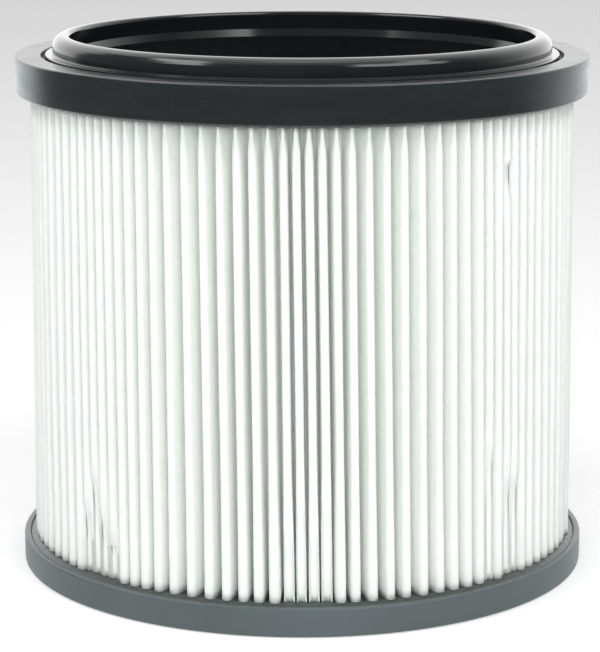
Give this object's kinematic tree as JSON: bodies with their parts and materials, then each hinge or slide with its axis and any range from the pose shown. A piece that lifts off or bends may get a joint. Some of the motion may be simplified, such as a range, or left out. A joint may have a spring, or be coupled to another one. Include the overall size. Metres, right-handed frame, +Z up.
{
  "type": "pleated vacuum filter",
  "caption": "Round pleated cartridge filter for a wet-and-dry vacuum: white folded sheet round a lattice cage, black top ring with a glossy mouth collar, closed bottom pan.",
  "frame": {"origin": "centre of the standing face, on the filter's axis", "axes": "+Z up along the filter's axis, from the closed pan to the open mouth; the picture's camera looks along +Y"},
  "size_m": [0.1884, 0.1884, 0.1758],
  "materials": {
    "collar_plastic": "glossy black",
    "ring_plastic": "satin black",
    "potting": "poured compound",
    "filter_sheet": "white non-woven sheet",
    "hot_melt": "hot-melt glue",
    "cage_plastic": "natural plastic",
    "pan_plastic": "satin black"
  },
  "bodies": {
    "root": {"mouth_collar": "collar_plastic", "top_ring": "ring_plastic", "top_potting": "potting", "pleat_pack": "filter_sheet", "seam_glue": "hot_melt", "support_cage": "cage_plastic", "bottom_pan": "pan_plastic", "bottom_potting": "potting"}
  },
  "joints": []
}
